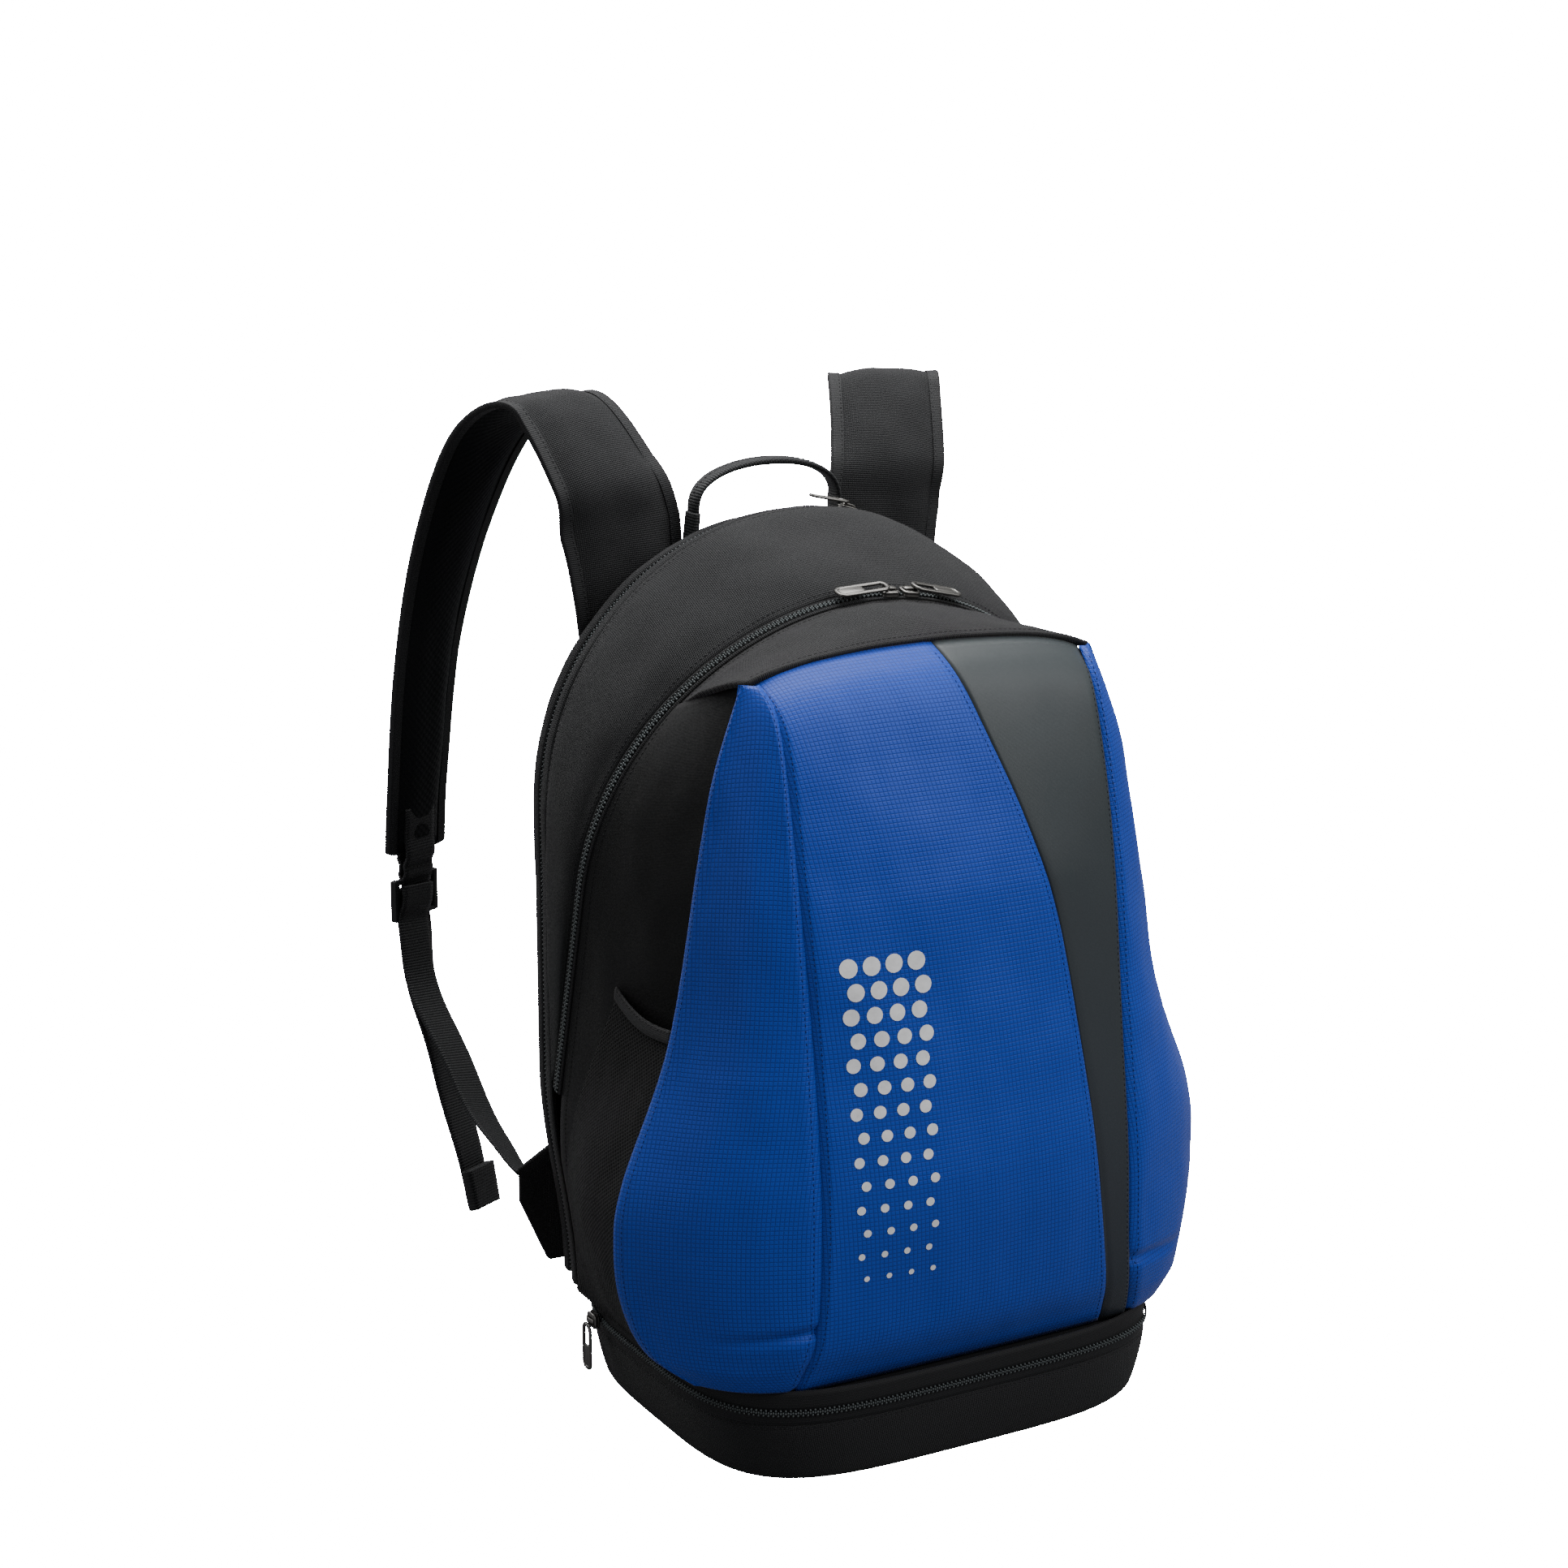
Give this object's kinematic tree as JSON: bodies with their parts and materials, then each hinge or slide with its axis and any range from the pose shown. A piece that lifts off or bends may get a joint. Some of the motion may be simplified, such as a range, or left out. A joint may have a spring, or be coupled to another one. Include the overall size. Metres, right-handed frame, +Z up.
{
  "type": "racket backpack",
  "caption": "Upright racket backpack with zipped front cover, racket compartment, base compartment, mesh side pockets, haul loop and padded adjustable straps.",
  "frame": {"origin": "on the floor under the middle of the bag, on the underside of the base", "axes": "+Z up, -Y towards the front panel, +Y towards the wearer's back, +X to the right seen from the front"},
  "size_m": [0.3588, 0.3752, 0.5279],
  "materials": {
    "ripstop": "cobalt ripstop weave with a slight sheen",
    "stripe": "smooth coated fabric, slate grey",
    "canvas": "plain black woven canvas, matt",
    "lining": "thin black woven lining",
    "mesh": "black knitted mesh",
    "zip_tape": "black zip tape with nylon coil",
    "webbing": "ribbed dark webbing",
    "gunmetal": "antique nickel plating, satin",
    "buckle": "moulded black plastic",
    "board": "stiff plastic sheet"
  },
  "bodies": {
    "base": {"base_tub": "canvas", "base_board": "board", "base_zip_lower": "zip_tape"},
    "pack": {"compartment_floor": "lining", "base_zip_upper": "zip_tape", "main_gusset": "canvas", "main_zip_rear": "zip_tape", "divider_panel": "lining", "back_panel": "lining", "racket_gusset_front": "canvas", "racket_gusset_rear": "canvas", "racket_zip_left": "zip_tape", "racket_zip_right": "zip_tape", "back_pad_left": "mesh", "back_pad_right": "mesh", "back_pad_lower": "mesh", "strap_root_left": "canvas", "strap_root_right": "canvas", "strap_anchor_left": "canvas", "strap_anchor_right": "canvas"},
    "cover": {"front_panel": "ripstop", "front_stripe": "stripe", "top_band": "canvas", "wing_left": "ripstop", "wing_right": "ripstop", "side_wall_left": "lining", "side_wall_right": "lining", "pocket_mesh_left": "mesh", "pocket_mesh_right": "mesh", "pocket_binding_left": "zip_tape", "pocket_binding_right": "zip_tape", "main_zip_front": "zip_tape"},
    "haul_loop": {"haul_loop": "webbing"},
    "strap_left": {"strap_pad_left": "canvas", "strap_webbing_left": "webbing", "strap_tail_left": "webbing"},
    "buckle_left": {"ladder_lock_left": "buckle"},
    "main_slider_left": {"main_slider_left": "gunmetal"},
    "main_pull_left": {"main_pull_left": "gunmetal"},
    "racket_slider_left": {"racket_slider_left": "gunmetal"},
    "racket_pull_left": {"racket_pull_left": "gunmetal"},
    "strap_right": {"strap_pad_right": "canvas", "strap_webbing_right": "webbing", "strap_tail_right": "webbing"},
    "buckle_right": {"ladder_lock_right": "buckle"},
    "main_slider_right": {"main_slider_right": "gunmetal"},
    "main_pull_right": {"main_pull_right": "gunmetal"},
    "racket_slider_right": {"racket_slider_right": "gunmetal"},
    "racket_pull_right": {"racket_pull_right": "gunmetal"},
    "base_slider": {"base_slider": "gunmetal"},
    "base_pull": {"base_pull": "gunmetal"}
  },
  "joints": [
    {"name": "base_opening", "type": "hinge", "parent": "base", "child": "pack", "pos_m": [0, 0.098, 0.0415], "axis": [-1, 0, 0], "range_deg": [0, 20]},
    {"name": "cover_fold", "type": "hinge", "parent": "pack", "child": "cover", "pos_m": [0, -0.127, 0.049], "axis": [1, 0, 0], "range_deg": [0, 18]},
    {"name": "haul_loop_fold", "type": "hinge", "parent": "pack", "child": "haul_loop", "pos_m": [0, 0.101, 0.463], "axis": [-1, 0, 0], "range_deg": [-25, 70]},
    {"name": "main_slider_left_travel", "type": "hinge", "parent": "pack", "child": "main_slider_left", "pos_m": [0, 0.02628, 0.28818], "axis": [0, -0.9655, -0.2605], "range_deg": [0, 85]},
    {"name": "main_slider_right_travel", "type": "hinge", "parent": "pack", "child": "main_slider_right", "pos_m": [0, 0.02628, 0.28818], "axis": [0, 0.9655, 0.2605], "range_deg": [0, 78]},
    {"name": "main_pull_left_flip", "type": "hinge", "parent": "main_slider_left", "child": "main_pull_left", "pos_m": [0.00949, -0.01413, 0.43793], "axis": [0, 0.9655, 0.2605], "range_deg": [0, 95]},
    {"name": "main_pull_right_flip", "type": "hinge", "parent": "main_slider_right", "child": "main_pull_right", "pos_m": [0.02243, -0.01378, 0.43664], "axis": [0, -0.9655, -0.2605], "range_deg": [0, 95]},
    {"name": "racket_slider_left_travel", "type": "hinge", "parent": "pack", "child": "racket_slider_left", "pos_m": [0, 0.082, 0.318], "axis": [0, -1, 0], "range_deg": [0, 60]},
    {"name": "racket_slider_right_travel", "type": "hinge", "parent": "pack", "child": "racket_slider_right", "pos_m": [0, 0.082, 0.318], "axis": [0, 1, 0], "range_deg": [0, 28]},
    {"name": "racket_pull_left_flip", "type": "hinge", "parent": "racket_slider_left", "child": "racket_pull_left", "pos_m": [0.04164, 0.082, 0.46484], "axis": [0, 1, 0], "range_deg": [0, 95]},
    {"name": "racket_pull_right_flip", "type": "hinge", "parent": "racket_slider_right", "child": "racket_pull_right", "pos_m": [0.12968, 0.082, 0.3985], "axis": [0, -1, 0], "range_deg": [0, 95]},
    {"name": "base_slider_travel", "type": "slide", "parent": "base", "child": "base_slider", "axis": [0, -1, 0], "range_m": [0, 0.07]},
    {"name": "base_pull_flip", "type": "hinge", "parent": "base_slider", "child": "base_pull", "pos_m": [-0.1434, 0.04, 0.04175], "axis": [0, 1, 0], "range_deg": [0, 90]},
    {"name": "strap_swing_left", "type": "hinge", "parent": "pack", "child": "strap_left", "pos_m": [-0.08, 0.112, 0.44], "axis": [-0.2103, -0.0343, -0.977], "range_deg": [-25, 25]},
    {"name": "buckle_tilt_left", "type": "hinge", "parent": "strap_left", "child": "buckle_left", "pos_m": [-0.16, 0.2245, 0.249], "axis": [0.891, 0.454, 0], "range_deg": [-30, 35]},
    {"name": "strap_swing_right", "type": "hinge", "parent": "pack", "child": "strap_right", "pos_m": [0.08, 0.112, 0.44], "axis": [0.2103, -0.0343, -0.977], "range_deg": [-25, 25]},
    {"name": "buckle_tilt_right", "type": "hinge", "parent": "strap_right", "child": "buckle_right", "pos_m": [0.16, 0.2245, 0.249], "axis": [0.891, -0.454, 0], "range_deg": [-30, 35]}
  ]
}
